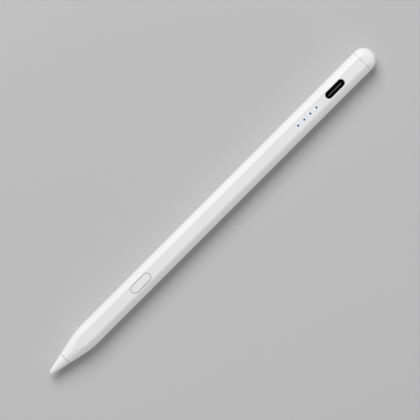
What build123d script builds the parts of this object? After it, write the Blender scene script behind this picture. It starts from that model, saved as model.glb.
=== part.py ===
"""An active stylus pen for a tablet: a white one-piece barrel with a flat along its top and
underside, a screw-on nib, a side button, charge lights and a side-facing charging socket.
The pen lies along X with the nib at -X, resting on its underside flat at Z = 0."""

import math
import os

from build123d import *

# Whole pen, in millimetres and degrees
overall_length = 166.0
barrel_diameter = 9.0
flat_width = 3.95
wall = 0.85
flat_edge_radius = 0.5
overrun = 1.0
running_clearance = 0.05
small_round_sides = 16

# Nose and nib
nib_length = 7.7
nib_base_diameter = 4.83
nib_base_chamfer = 0.05
cone_half_angle = 12.5
nose_blend_radius = 36.0
nose_land = 1.2
nose_hole_clearance = 0.2
flat_run_out_angle = 4.0
flat_break_angle = 1.0
flat_bend_radius = 40.0
flat_run_out_start = 0.3
tip_travel = 0.12
tip_stop_margin = 0.04

# Threaded insert moulded into the nib
insert_diameter = 2.6
insert_sides = 6
insert_length = 3.0

# Tip rod, its guide bush, the ring electrode round the bush and the return spring
post_diameter = 1.6
post_length = 3.7
post_chamfer = 0.25
post_end_room = 0.4
rod_diameter = 2.5
collar_diameter = 3.3
collar_length = 0.8
tail_diameter = 1.2
tail_reach = 0.4
bush_wall = 0.5
bush_clearance = 0.1
ring_thickness = 0.25
ring_length = 4.4
ring_clearance = 0.2
strip_width = 1.2
strip_gap = 0.15
strip_landing = 0.6
strip_foot_length = 1.0
strip_bend_radius = 0.4
flange_length = 6.3
flange_chamfer = 0.2
spring_wire = 0.3
spring_length = 2.3
spring_turns = 3
spring_diameter = 2.6
spring_end_gap = 0.05
wire_sides = 6

# Tip force sensor on its upright board
sensor_diameter = 2.8
sensor_thickness = 0.7
sensor_stop_gap = 0.03
sensor_board_thickness = 0.8
sensor_board_height = 1.6
board_end_gap = 0.1

# Chassis, the long tray that carries everything behind the nose
chassis_clearance = 0.1
chassis_wall = 0.6
bulkhead_thickness = 1.0
bulkhead_height = 1.7
front_bay_length = 39.4
rear_bay_length = 33.0
rib_thickness = 1.0
cradle_height = 0.6
flex_groove_depth = 0.3
boss_diameter = 1.6
pilot_diameter = 0.84
pilot_floor = 0.43

# Circuit boards and what is soldered to them
board_thickness = 0.8
board_edge_inset = 0.15
board_corner_radius = 0.6
board_bay_gap = 0.5
chip_size = 4.0
chip_height = 0.8
chip_corner = 0.3
chip_edge = 0.1
chip_gap = 2.0
coil_size = 3.2
coil_height = 1.6
coil_corner_radius = 0.8
coil_well_diameter = 1.8
coil_well_depth = 0.3
coil_from_switch = 9.0
charger_length = 2.9
charger_width = 1.6
charger_height = 1.1
charger_offset = 0.9
charger_gap = 0.4
screw_edge = 1.2
screw_inset = 3.5
nose_screw_inset = 4.0
cap_screw_inset = 1.3
screw_diameter = 0.76
screw_end_gap = 0.1
screw_slot_width = 0.25
screw_slot_depth = 0.15
screw_head_diameter = 1.6
screw_head_height = 0.4
screw_hole_diameter = 1.1

# Side button and its snap switch
button_from_tip = 46.7
button_slot_length = 9.2
button_slot_margin = 0.325
button_gap = 0.19
button_proud = 0.15
button_edge_radius = 0.12
button_travel = 0.25
button_flange_length = 10.8
button_flange_width = 3.6
button_flange_thickness = 0.5
button_post_height = 0.25
button_post_length = 2.4
button_post_width = 1.6
switch_length = 4.2
switch_width = 3.2
switch_well_floor = 0.15
switch_well_diameter = 2.8
switch_cover_thickness = 0.25
plunger_diameter = 1.5
plunger_flange_diameter = 2.2
plunger_flange_height = 0.15
plunger_stop_margin = 0.1
plunger_gap = 0.03
dome_thickness = 0.06
dome_rise = 0.3

# Charge lights
light_pitch = 3.1
light_count = 4
light_to_port = 9.55
light_diameter = 0.8
light_hole_gap = 0.03
light_recess = 0.03
light_rail_width = 2.2
light_rail_height = 0.6
light_rail_end = 1.0
led_length = 1.0
led_width = 0.6
led_height = 0.4
led_gap = 0.1

# Side-facing charging socket
port_from_end = 19.5
port_slot_length = 9.0
port_slot_width = 2.85
port_rebate_wall = 0.2
port_fit = 0.05
port_shell_length = 8.94
port_shell_width = 3.16
port_shell_wall = 0.3
port_base_height = 0.4
port_tongue_length = 6.69
port_tongue_width = 0.7
port_tongue_setback = 1.0
port_board_gap = 0.12
port_ear_length = 1.2
port_ear_reach = 0.8
port_ear_thickness = 0.25
port_ear_spacing = 5.6
contact_count = 12
contact_pitch = 0.5
contact_width = 0.25
contact_thickness = 0.05
contact_root_gap = 1.7
contact_setback = 0.3

# Battery, its leads, the ribbon between the boards and the holding magnets
battery_headroom = 0.3
battery_end_gap = 0.5
battery_edge = 0.4
battery_crimp_from_end = 1.6
battery_crimp_width = 0.7
battery_crimp_depth = 0.3
lead_diameter = 0.6
lead_offset = 0.9
lead_spacing = 0.8
lead_rise = 0.9
lead_step = 0.4
lead_landing = 1.1
lead_bend_radius = 0.4
lead_gap = 0.02
ribbon_width = 2.2
ribbon_gap = 0.2
ribbon_thickness = 0.15
ribbon_pad = 2.0
ribbon_bend_radius = 0.4
magnet_length = 11.0
magnet_width = 3.0
magnet_headroom = 0.43
magnet_gap = 0.6

# End cap
cap_band = 0.84
cap_roll_drop = 2.0
cap_hollow_depth = 1.5
seam_groove_width = 0.1
seam_groove_depth = 0.4
spigot_length = 3.6
spigot_wall = 0.8
spigot_fit = 0.05
chassis_end_gap = 0.2

# Levels, measured up from the pen's axis
barrel_radius = barrel_diameter / 2
flat_level = math.sqrt(barrel_radius**2 - (flat_width / 2) ** 2)
inner_radius = barrel_radius - wall
inner_level = flat_level - wall
chassis_radius = inner_radius - chassis_clearance
chassis_under = chassis_clearance - inner_level
trough_radius = chassis_radius - chassis_wall
floor_level = chassis_under + chassis_wall
ledge_level = -board_thickness
ledge_half_width = math.sqrt(chassis_radius**2 - ledge_level**2)
board_width = 2 * (ledge_half_width - board_edge_inset)
screw_offset = board_width / 2 - screw_edge
pilot_depth = ledge_level - floor_level - pilot_floor
screw_length = board_thickness + pilot_depth - screw_end_gap
magnet_thickness = ledge_level - floor_level - magnet_headroom
flex_notch_width = ribbon_width + 2 * ribbon_gap
axis_z = flat_level

# Places along the pen, from the nib to the cap
tip_x = -overall_length / 2
end_x = overall_length / 2
cone_slope = math.tan(math.radians(cone_half_angle))
cone_cosine = math.cos(math.radians(cone_half_angle))
cone_sine = math.sin(math.radians(cone_half_angle))
nib_base_radius = nib_base_diameter / 2
nib_base_x = tip_x + nib_length
nib_tip_radius = (nib_base_radius - nib_length * cone_slope) * cone_cosine / (1 - cone_sine)
nose_gap = tip_travel + tip_stop_margin
nose_front_x = nib_base_x + nose_gap
nose_front_radius = nib_base_radius + nose_gap * cone_slope
cone_end_radius = barrel_radius - nose_blend_radius * (1 - cone_cosine)
cone_end_x = nose_front_x + (cone_end_radius - nose_front_radius) / cone_slope
nose_end_x = cone_end_x + nose_blend_radius * cone_sine
cap_length = cap_band + barrel_radius
barrel_back_x = end_x - cap_length
dome_x = barrel_back_x + cap_band

# The nose's inner wall is a plain cone, one wall thickness inside the outer one
nose_land_x = nose_front_x + nose_land
nose_land_radius = nose_front_radius + nose_land * cone_slope - wall / cone_cosine


def inner_nose_x(radius):
    """Where the nose's inner wall reaches a radius."""
    return nose_land_x + (radius - nose_land_radius) / cone_slope


rod_radius = rod_diameter / 2
bush_bore_radius = rod_radius + running_clearance
bush_tube_radius = bush_bore_radius + bush_wall
ring_inner_radius = bush_tube_radius + running_clearance
ring_radius = ring_inner_radius + ring_thickness
flange_radius = inner_level - bush_clearance
bush_front_x = inner_nose_x(bush_tube_radius + ring_clearance)
ring_front_x = inner_nose_x(ring_radius + ring_clearance)
flange_front_x = max(
    inner_nose_x(flange_radius + bush_clearance),
    ring_front_x + ring_length + bush_clearance,
)
bush_back_x = flange_front_x + flange_length
collar_back_x = bush_back_x + collar_length
chassis_front_x = collar_back_x + spring_length
bay_front_x = chassis_front_x + bulkhead_thickness
tail_end_x = bay_front_x + tail_reach
sensor_front_x = tail_end_x + tip_travel + sensor_stop_gap
sensor_back_x = sensor_front_x + sensor_thickness
front_board_x = sensor_back_x + sensor_board_thickness + board_end_gap
chassis_back_x = barrel_back_x - spigot_length - chassis_end_gap
battery_bay_x = bay_front_x + front_bay_length
rear_bay_x = chassis_back_x - rear_bay_length
front_board_back_x = battery_bay_x - rib_thickness - board_bay_gap
rear_board_x = rear_bay_x + rib_thickness + board_bay_gap
rear_board_back_x = chassis_back_x - board_bay_gap
button_x = tip_x + button_from_tip
port_x = end_x - port_from_end
last_light_x = port_x - light_to_port
light_row_length = (light_count - 1) * light_pitch
front_screw_x = front_board_x + nose_screw_inset
chip_x = front_screw_x + screw_head_diameter / 2 + chip_gap + chip_size / 2
light_row_x = last_light_x - light_row_length / 2

# Levels of the switch stack and of the pieces under the top flat
under_flat = inner_level - running_clearance
button_slot_width = flat_width - 2 * button_slot_margin
button_flange_under = under_flat - button_flange_thickness
plunger_top = button_flange_under - button_post_height - plunger_gap
switch_top = plunger_top - button_travel - plunger_stop_margin
switch_base_height = switch_top - switch_cover_thickness
dome_top = switch_well_floor + dome_rise + dome_thickness
plunger_under = dome_top + plunger_gap
port_mouth = flat_level - port_rebate_wall - port_fit
port_tongue_top = flat_level - port_tongue_setback
port_foot = floor_level + running_clearance
port_base_top = port_foot + port_base_height

# Battery and ribbon, fitted to the space the chassis leaves
battery_diameter = inner_level - floor_level - battery_headroom
battery_level = floor_level + running_clearance + battery_diameter / 2
battery_front_x = battery_bay_x + battery_end_gap
battery_back_x = rear_bay_x - battery_end_gap
lead_level = battery_level + lead_rise
lead_landing_level = lead_diameter / 2 + lead_gap
ribbon_front_x = front_board_back_x + board_bay_gap / 2
ribbon_back_x = rear_board_x - board_bay_gap / 2
ribbon_board_level = ledge_level - ribbon_thickness / 2
ribbon_floor_level = floor_level - flex_groove_depth + ribbon_thickness / 2 + lead_gap

# Screws stand to one side and then the other, with the magnets next to the inner pair
screw_places = [
    (front_screw_x, screw_offset),
    (front_board_back_x - screw_inset, -screw_offset),
    (rear_board_x + screw_inset, screw_offset),
    (rear_board_back_x - cap_screw_inset, -screw_offset),
]
magnet_from_screw = boss_diameter / 2 + magnet_gap + magnet_length / 2
magnet_places = [
    front_board_back_x - screw_inset - magnet_from_screw,
    rear_board_x + screw_inset + magnet_from_screw,
]

# Working planes: along the pen through its axis, square across it, and level above the axis
pen_axis = Axis((0, 0, axis_z), (1, 0, 0))
along = Plane(origin=(0, 0, axis_z), x_dir=(1, 0, 0), z_dir=(0, -1, 0))


def across(x):
    """The plane square to the pen at x, centred on the axis, with its own Y pointing up."""
    return Plane(origin=(x, 0, axis_z), x_dir=(0, 1, 0), z_dir=(1, 0, 0))


def level(height, x=0):
    """The level plane that far above the axis, centred over the pen at x."""
    return Plane(origin=(x, 0, axis_z + height))


def flatted_circle(radius, half_height):
    """A round section with flats above and below, drawn in the current sketch."""
    Circle(radius)
    Rectangle(2 * radius, 2 * half_height, mode=Mode.INTERSECT)


def small_round(diameter):
    """A small round that repeats, drawn with few sides in the current sketch."""
    RegularPolygon(diameter / 2, small_round_sides)


def pen_section():
    """The pen's outside section: round, with flats that have softened edges."""
    with BuildSketch(mode=Mode.PRIVATE) as section:
        flatted_circle(barrel_radius, flat_level)
        fillet(section.vertices(), flat_edge_radius)
    add(section.sketch)


os.makedirs("parts", exist_ok=True)

# The hollow inside the barrel, which the barrel, chassis and cap are all sized from
with BuildPart() as cavity:
    with BuildSketch(along):
        with BuildLine():
            hole_radius = rod_radius + nose_hole_clearance
            Polyline(
                (nose_front_x - overrun, 0),
                (nose_front_x - overrun, hole_radius),
                (nose_land_x, hole_radius),
                (nose_land_x, nose_land_radius),
                (inner_nose_x(inner_radius), inner_radius),
                (barrel_back_x + overrun, inner_radius),
                (barrel_back_x + overrun, 0),
                close=True,
            )
        make_face()
    revolve(axis=pen_axis)
    with BuildSketch(across(nose_front_x - overrun)):
        Rectangle(barrel_diameter, 2 * inner_level)
    extrude(amount=overall_length, mode=Mode.INTERSECT)

# Barrel: a turned nose on a drawn body, with a flat along the top and one along the underside
with BuildPart() as barrel:
    with BuildSketch(along):
        with BuildLine():
            Polyline(
                (nose_end_x, barrel_radius),
                (nose_end_x, 0),
                (nose_front_x, 0),
                (nose_front_x, nose_front_radius),
            )
            cone = Line((nose_front_x, nose_front_radius), (cone_end_x, cone_end_radius))
            TangentArc(cone @ 1, (nose_end_x, barrel_radius), tangent=cone % 1)
        make_face()
    revolve(axis=pen_axis)
    with BuildSketch(across(nose_end_x)):
        pen_section()
    extrude(amount=overall_length, both=True, mode=Mode.INTERSECT)
    with BuildSketch(along):
        with BuildLine():
            break_point = (nose_end_x - flat_run_out_start, flat_level)
            lead_in = PolarLine(break_point, flat_run_out_start + overrun, flat_break_angle)
            bend_angle = flat_run_out_angle - flat_break_angle
            bend = JernArc(break_point, -(lead_in % 0), flat_bend_radius, bend_angle)
            run_out = PolarLine(bend @ 1, nose_end_x - tip_x, direction=bend % 1)
            Polyline(run_out @ 1, ((run_out @ 1).X, 0), ((lead_in @ 1).X, 0), lead_in @ 1)
        make_face()
        mirror(about=Plane.XZ)
    extrude(amount=barrel_radius, both=True, mode=Mode.INTERSECT)
    with BuildSketch(across(nose_end_x)):
        pen_section()
    extrude(amount=barrel_back_x - nose_end_x)
    add(cavity.part, mode=Mode.SUBTRACT)
    with BuildSketch(level(0, button_x)):
        SlotOverall(button_slot_length, button_slot_width)
    extrude(amount=barrel_radius, mode=Mode.SUBTRACT)
    with BuildSketch(level(0, port_x)):
        SlotOverall(port_slot_length, port_slot_width)
    extrude(amount=barrel_radius, mode=Mode.SUBTRACT)
    with BuildSketch(level(0, light_row_x)):
        with GridLocations(light_pitch, 0, light_count, 1):
            small_round(light_diameter + 2 * light_hole_gap)
    extrude(amount=barrel_radius, mode=Mode.SUBTRACT)
    with BuildSketch(level(0, port_x)):
        SlotOverall(port_shell_length + 2 * port_fit, port_shell_width + 2 * port_fit)
    extrude(amount=flat_level - port_rebate_wall, mode=Mode.SUBTRACT)

# End cap: a dome that the flats roll over, a shadow groove at its seam and a spigot for the barrel
with BuildPart() as end_cap:
    with BuildSketch(along):
        with BuildLine():
            Polyline((end_x, 0), (barrel_back_x, 0), (barrel_back_x, barrel_radius), (dome_x, barrel_radius))
            TangentArc((dome_x, barrel_radius), (end_x, 0), tangent=(1, 0))
        make_face()
    revolve(axis=pen_axis)
    with BuildSketch(along):
        with BuildLine():
            Polyline(
                (end_x, flat_level - cap_roll_drop),
                (end_x, 0),
                (barrel_back_x, 0),
                (barrel_back_x, flat_level),
                (dome_x, flat_level),
            )
            TangentArc((dome_x, flat_level), (end_x, flat_level - cap_roll_drop), tangent=(1, 0))
        make_face()
        mirror(about=Plane.XZ)
    extrude(amount=barrel_radius, both=True, mode=Mode.INTERSECT)
    with BuildSketch(across(barrel_back_x)):
        Circle(barrel_radius + overrun)
        with BuildSketch(mode=Mode.PRIVATE) as groove_core:
            flatted_circle(barrel_radius - seam_groove_depth, flat_level - seam_groove_depth)
        add(groove_core.sketch, mode=Mode.SUBTRACT)
    extrude(amount=seam_groove_width, mode=Mode.SUBTRACT)
    spigot_radius = inner_radius - spigot_fit
    spigot_level = inner_level - spigot_fit
    with BuildSketch(across(barrel_back_x)):
        flatted_circle(spigot_radius, spigot_level)
    extrude(amount=-spigot_length)
    with BuildSketch(across(barrel_back_x - spigot_length)):
        flatted_circle(spigot_radius - spigot_wall, spigot_level - spigot_wall)
    extrude(amount=spigot_length + cap_hollow_depth, mode=Mode.SUBTRACT)

# Threaded insert: a six-sided sleeve that can't turn in the nib moulded round it
with BuildPart() as nib_insert:
    with BuildSketch(across(nib_base_x)):
        RegularPolygon(insert_diameter / 2, insert_sides)
        Circle(post_diameter / 2 + running_clearance, mode=Mode.SUBTRACT)
    extrude(amount=-insert_length)

# Nib: a cone that carries the nose's line on to a rounded tip
with BuildPart() as nib:
    with BuildSketch(along):
        tip_join = (
            tip_x + nib_tip_radius * (1 - cone_sine),
            nib_tip_radius * cone_cosine,
        )
        with BuildLine():
            TangentArc((tip_x, 0), tip_join, tangent=(0, 1))
            Polyline(tip_join, (nib_base_x, nib_base_radius), (nib_base_x, 0), (tip_x, 0))
        make_face()
    revolve(axis=pen_axis)
    chamfer(nib.faces().sort_by(Axis.X)[-1].edges(), nib_base_chamfer)
    with BuildSketch(across(nib_base_x)):
        Circle(post_diameter / 2 + running_clearance)
    extrude(amount=-post_length - post_end_room, mode=Mode.SUBTRACT)
    add(nib_insert.part, mode=Mode.SUBTRACT)

# Tip rod: a threaded post for the nib, a guided shaft, a stop collar and a sensing tail
with BuildPart() as tip_rod:
    with BuildSketch(along):
        with BuildLine():
            Polyline(
                (nib_base_x - post_length, 0),
                (nib_base_x - post_length, post_diameter / 2 - post_chamfer),
                (nib_base_x - post_length + post_chamfer, post_diameter / 2),
                (nib_base_x, post_diameter / 2),
                (nib_base_x, rod_radius),
                (bush_back_x, rod_radius),
                (bush_back_x, collar_diameter / 2),
                (collar_back_x, collar_diameter / 2),
                (collar_back_x, tail_diameter / 2),
                (tail_end_x, tail_diameter / 2),
                (tail_end_x, 0),
                close=True,
            )
        make_face()
    revolve(axis=pen_axis)

# Guide bush: a tube in the nose with a flange against the nose's inner wall
with BuildPart() as nose_bush:
    with BuildSketch(along):
        with BuildLine():
            Polyline(
                (bush_front_x, bush_bore_radius),
                (bush_front_x, bush_tube_radius),
                (flange_front_x, bush_tube_radius),
                (flange_front_x, flange_radius - flange_chamfer),
                (flange_front_x + flange_chamfer, flange_radius),
                (bush_back_x, flange_radius),
                (bush_back_x, bush_bore_radius),
                close=True,
            )
        make_face()
    revolve(axis=pen_axis)
    with BuildSketch(level(bush_tube_radius, flange_front_x)):
        Rectangle(2 * overrun + 2 * flange_length, strip_width + 2 * strip_gap)
    extrude(amount=flange_radius, mode=Mode.SUBTRACT)

# Ring electrode: a sleeve on the bush with a strip back to the front board
with BuildPart() as ring_electrode:
    with BuildSketch(across(ring_front_x)):
        Circle(ring_radius)
        Circle(ring_inner_radius, mode=Mode.SUBTRACT)
    extrude(amount=ring_length)
    strip_level = ring_inner_radius + ring_thickness / 2
    strip_drop_x = front_board_x + strip_landing
    with BuildSketch(along):
        with BuildLine():
            FilletPolyline(
                (ring_front_x + ring_length / 2, strip_level),
                (strip_drop_x, strip_level),
                (strip_drop_x, ring_thickness / 2),
                (strip_drop_x + strip_foot_length, ring_thickness / 2),
                radius=strip_bend_radius,
            )
        trace(line_width=ring_thickness)
    extrude(amount=strip_width / 2, both=True)

# Return spring: a coil between the rod's collar and the chassis
with BuildPart() as return_spring:
    spring_start_x = collar_back_x + spring_end_gap + spring_wire / 2
    spring_height = spring_length - 2 * spring_end_gap - spring_wire
    half_pitch = spring_height / (2 * spring_turns)
    half_turn_reach = math.hypot(spring_diameter / 2, half_pitch / 2)
    with BuildLine() as coil:
        for turn in range(2 * spring_turns):
            side = 1 - 2 * (turn % 2)
            start_x = spring_start_x + turn * half_pitch
            ThreePointArc(
                (start_x, 0, axis_z + side * spring_diameter / 2),
                (start_x + half_pitch / 2, side * half_turn_reach, axis_z),
                (start_x + half_pitch, 0, axis_z - side * spring_diameter / 2),
            )
    with BuildSketch(Plane(origin=coil.line @ 0, z_dir=coil.line % 0)):
        RegularPolygon(spring_wire / 2, wire_sides)
    sweep(path=coil.line)

# Chassis: a tray with a bulkhead, ledges for the boards, a battery cradle and screw bosses
with BuildPart() as chassis:
    with BuildSketch(across(chassis_front_x)):
        flatted_circle(chassis_radius, -chassis_under)
    extrude(amount=chassis_back_x - chassis_front_x)
    with BuildSketch(across(bay_front_x)):
        flatted_circle(trough_radius, -floor_level)
    extrude(amount=overall_length, mode=Mode.SUBTRACT)
    with BuildSketch(level(chassis_under)):
        with Locations(*screw_places):
            small_round(boss_diameter)
    extrude(amount=ledge_level - chassis_under)
    for rib_x in [battery_bay_x - rib_thickness, rear_bay_x]:
        with BuildSketch(across(rib_x)):
            flatted_circle(chassis_radius, -chassis_under)
        extrude(amount=rib_thickness)
    with BuildSketch(across(chassis_front_x)):
        flatted_circle(chassis_radius, -chassis_under)
    extrude(amount=overall_length, mode=Mode.INTERSECT)
    with BuildSketch(along):
        with BuildLine():
            Polyline(
                (chassis_front_x - overrun, bulkhead_height),
                (bay_front_x, bulkhead_height),
                (bay_front_x, ledge_level),
                (battery_bay_x - rib_thickness, ledge_level),
                (battery_bay_x - rib_thickness, cradle_height),
                (rear_bay_x + rib_thickness, cradle_height),
                (rear_bay_x + rib_thickness, ledge_level),
                (chassis_back_x + overrun, ledge_level),
                (chassis_back_x + overrun, barrel_radius),
                (chassis_front_x - overrun, barrel_radius),
                close=True,
            )
        make_face()
    extrude(amount=barrel_radius, both=True, mode=Mode.SUBTRACT)
    with BuildSketch(across(chassis_front_x)):
        Circle(tail_diameter / 2 + nose_hole_clearance)
    extrude(amount=bulkhead_thickness, mode=Mode.SUBTRACT)
    with BuildSketch(level(floor_level - flex_groove_depth, (ribbon_front_x + ribbon_back_x) / 2)):
        Rectangle(ribbon_back_x - ribbon_front_x + 2 * board_bay_gap, flex_notch_width)
    extrude(amount=flex_groove_depth + barrel_radius, mode=Mode.SUBTRACT)
    with BuildSketch(level(ledge_level)):
        with Locations(*screw_places):
            small_round(pilot_diameter)
    extrude(amount=-pilot_depth, mode=Mode.SUBTRACT)

# Upright sensor board and the round force sensor on its face
with BuildPart() as sensor_board:
    with BuildSketch(across(sensor_back_x)):
        Circle(trough_radius - chassis_clearance)
        board_bottom = floor_level + running_clearance
        with Locations((0, (board_bottom + sensor_board_height) / 2)):
            Rectangle(barrel_diameter, sensor_board_height - board_bottom, mode=Mode.INTERSECT)
    extrude(amount=sensor_board_thickness)

with BuildPart() as tip_sensor:
    with BuildSketch(across(sensor_front_x)):
        Circle(sensor_diameter / 2)
    extrude(amount=sensor_thickness)
    chamfer(tip_sensor.faces().sort_by(Axis.X)[0].edges(), post_chamfer)

# Circuit boards on the chassis ledges
with BuildPart() as front_board:
    with BuildSketch(level(ledge_level, (front_board_x + front_board_back_x) / 2)):
        RectangleRounded(front_board_back_x - front_board_x, board_width, board_corner_radius)
    extrude(amount=board_thickness)
    with BuildSketch(level(0)):
        with Locations(*screw_places[:2]):
            small_round(screw_hole_diameter)
    extrude(amount=-board_thickness, mode=Mode.SUBTRACT)

with BuildPart() as rear_board:
    with BuildSketch(level(ledge_level, (rear_board_x + rear_board_back_x) / 2)):
        RectangleRounded(rear_board_back_x - rear_board_x, board_width, board_corner_radius)
    extrude(amount=board_thickness)
    with BuildSketch(level(0)):
        with Locations(*screw_places[2:]):
            small_round(screw_hole_diameter)
        with Locations((port_x, 0)):
            SlotOverall(
                port_shell_length + 2 * port_board_gap, port_shell_width + 2 * port_board_gap
            )
    extrude(amount=-board_thickness, mode=Mode.SUBTRACT)

# Parts soldered to the boards
with BuildPart() as controller_chip:
    with BuildSketch(level(0, chip_x)):
        Rectangle(chip_size, chip_size)
    extrude(amount=chip_height)
    chamfer(controller_chip.edges().filter_by(Axis.Z)[0], chip_corner)

with BuildPart() as boost_coil:
    with BuildSketch(level(0, button_x + coil_from_switch)):
        RectangleRounded(coil_size, coil_size, coil_corner_radius)
    extrude(amount=coil_height)
    with BuildSketch(level(coil_height, button_x + coil_from_switch)):
        Circle(coil_well_diameter / 2)
    extrude(amount=-coil_well_depth, mode=Mode.SUBTRACT)

with BuildPart() as charge_chip:
    charger_x = port_x + port_shell_length / 2 + charger_gap + charger_length / 2
    with BuildSketch(level(0, charger_x)):
        with Locations((0, charger_offset)):
            Rectangle(charger_length, charger_width)
    extrude(amount=charger_height)
    chamfer(charge_chip.faces().sort_by(Axis.Z)[-1].edges(), chip_edge)

with BuildPart() as board_screws:
    with BuildSketch(level(0)):
        with Locations(*screw_places):
            small_round(screw_head_diameter)
    extrude(amount=screw_head_height)
    with BuildSketch(level(0)):
        with Locations(*screw_places):
            small_round(screw_diameter)
    extrude(amount=-screw_length)
    with BuildSketch(level(screw_head_height)):
        with Locations(*screw_places):
            Rectangle(screw_head_diameter, screw_slot_width)
    extrude(amount=-screw_slot_depth, mode=Mode.SUBTRACT)

# Snap switch under the button: base, sprung dome, plunger and cover plate
with BuildPart() as switch_base:
    with BuildSketch(level(0, button_x)):
        Rectangle(switch_length, switch_width)
    extrude(amount=switch_base_height)
    with BuildSketch(level(switch_base_height, button_x)):
        Circle(switch_well_diameter / 2)
    extrude(amount=switch_well_floor - switch_base_height, mode=Mode.SUBTRACT)

with BuildPart() as switch_dome:
    dome_half_width = switch_well_diameter / 2 - plunger_gap - dome_thickness
    dome_foot = switch_well_floor + dome_thickness
    with BuildSketch(Plane(origin=(button_x, 0, axis_z), x_dir=(1, 0, 0), z_dir=(0, -1, 0))):
        with BuildLine():
            TangentArc(
                (0, dome_top - dome_thickness / 2),
                (dome_half_width, dome_foot),
                tangent=(1, 0),
            )
        trace(line_width=dome_thickness)
    revolve(axis=Axis((button_x, 0, 0), (0, 0, 1)))

with BuildPart() as switch_plunger:
    with BuildSketch(level(plunger_under, button_x)):
        Circle(plunger_flange_diameter / 2)
    extrude(amount=plunger_flange_height)
    with BuildSketch(level(plunger_under, button_x)):
        Circle(plunger_diameter / 2)
    extrude(amount=plunger_top - plunger_under)

with BuildPart() as switch_cover:
    with BuildSketch(level(switch_base_height, button_x)):
        Rectangle(switch_length, switch_width)
        Circle(plunger_diameter / 2 + running_clearance, mode=Mode.SUBTRACT)
    extrude(amount=switch_cover_thickness)

# Side button: a rounded key held in its slot by a flange, with a post over the plunger
with BuildPart() as function_button:
    with BuildSketch(level(button_flange_under, button_x)):
        SlotOverall(button_slot_length - 2 * button_gap, button_slot_width - 2 * button_gap)
    extrude(amount=flat_level + button_proud - button_flange_under)
    fillet(function_button.faces().sort_by(Axis.Z)[-1].edges(), button_edge_radius)
    with BuildSketch(level(button_flange_under, button_x)):
        Rectangle(button_flange_length, button_flange_width)
    extrude(amount=button_flange_thickness)
    with BuildSketch(level(button_flange_under, button_x)):
        Rectangle(button_post_length, button_post_width)
    extrude(amount=-button_post_height)

# Charge lights: chips on the rear board and one clear guide that carries them to the flat
with BuildPart() as leds:
    with BuildSketch(level(0, light_row_x)):
        with GridLocations(light_pitch, 0, light_count, 1):
            Rectangle(led_length, led_width)
    extrude(amount=led_height)

with BuildPart() as light_guide:
    with BuildSketch(level(under_flat, light_row_x)):
        Rectangle(light_row_length + 2 * light_rail_end, light_rail_width)
    extrude(amount=-light_rail_height)
    guide_foot = led_height + led_gap
    with BuildSketch(level(guide_foot, light_row_x)):
        with GridLocations(light_pitch, 0, light_count, 1):
            small_round(light_diameter)
    extrude(amount=flat_level - light_recess - guide_foot)

# Charging socket: a drawn shell through the rear board, its insert and the contacts
with BuildPart() as usb_shell:
    with BuildSketch(level(port_foot, port_x)):
        SlotOverall(port_shell_length, port_shell_width)
    extrude(amount=port_mouth - port_foot)
    with BuildSketch(level(0, port_x)):
        ear_span = port_shell_width + 2 * port_ear_reach
        with GridLocations(port_ear_spacing, 0, 2, 1):
            Rectangle(port_ear_length, ear_span)
    extrude(amount=port_ear_thickness)
    bore_length = port_shell_length - 2 * port_shell_wall
    bore_width = port_shell_width - 2 * port_shell_wall
    with BuildSketch(level(port_foot, port_x)):
        SlotOverall(bore_length, bore_width)
    extrude(amount=port_mouth - port_foot, mode=Mode.SUBTRACT)

with BuildPart() as usb_insert:
    with BuildSketch(level(port_foot, port_x)):
        SlotOverall(bore_length - 2 * plunger_gap, bore_width - 2 * plunger_gap)
    extrude(amount=port_base_height)
    with BuildSketch(level(port_base_top, port_x)):
        Rectangle(port_tongue_length, port_tongue_width)
    extrude(amount=port_tongue_top - port_base_top)

with BuildPart() as usb_contacts:
    with BuildSketch(level(port_tongue_top - contact_setback, port_x)):
        with GridLocations(contact_pitch, port_tongue_width + contact_thickness, contact_count, 2):
            Rectangle(contact_width, contact_thickness)
    extrude(amount=port_base_top + contact_root_gap - port_tongue_top + contact_setback)

# Holding magnets on the chassis floor
with BuildPart() as magnets:
    with BuildSketch(level(floor_level)):
        with Locations(*[(magnet_x, 0) for magnet_x in magnet_places]):
            Rectangle(magnet_length, magnet_width)
    extrude(amount=magnet_thickness)

# Battery: a round can with a rolled groove, and its two leads to the rear board
with BuildPart() as battery_cell:
    with BuildSketch(Plane(origin=(battery_front_x, 0, axis_z + battery_level), z_dir=(1, 0, 0))):
        Circle(battery_diameter / 2)
    extrude(amount=battery_back_x - battery_front_x)
    chamfer(battery_cell.edges().filter_by(GeomType.CIRCLE), battery_edge)
    crimp_x = battery_back_x - battery_crimp_from_end
    with BuildSketch(Plane(origin=(crimp_x, 0, axis_z + battery_level), z_dir=(1, 0, 0))):
        Circle(battery_diameter)
        Circle(battery_diameter / 2 - battery_crimp_depth, mode=Mode.SUBTRACT)
    extrude(amount=battery_crimp_width / 2, both=True, mode=Mode.SUBTRACT)

lead_planes = [
    Plane(origin=(0, side * lead_spacing / 2 - lead_offset, axis_z), x_dir=(1, 0, 0), z_dir=(0, -1, 0))
    for side in [1, -1]
]
lead_points = [
    (battery_back_x, lead_level),
    (rear_board_x - board_bay_gap, lead_level),
    (rear_board_x + lead_step, lead_landing_level),
    (rear_board_x + lead_landing, lead_landing_level),
]

with BuildPart() as battery_lead_red:
    with BuildLine(lead_planes[0]) as red_path:
        FilletPolyline(*lead_points, radius=lead_bend_radius)
    with BuildSketch(Plane(origin=red_path.line @ 0, z_dir=red_path.line % 0)):
        RegularPolygon(lead_diameter / 2, wire_sides)
    sweep(path=red_path.line)

with BuildPart() as battery_lead_black:
    with BuildLine(lead_planes[1]) as black_path:
        FilletPolyline(*lead_points, radius=lead_bend_radius)
    with BuildSketch(Plane(origin=black_path.line @ 0, z_dir=black_path.line % 0)):
        RegularPolygon(lead_diameter / 2, wire_sides)
    sweep(path=black_path.line)

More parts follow.
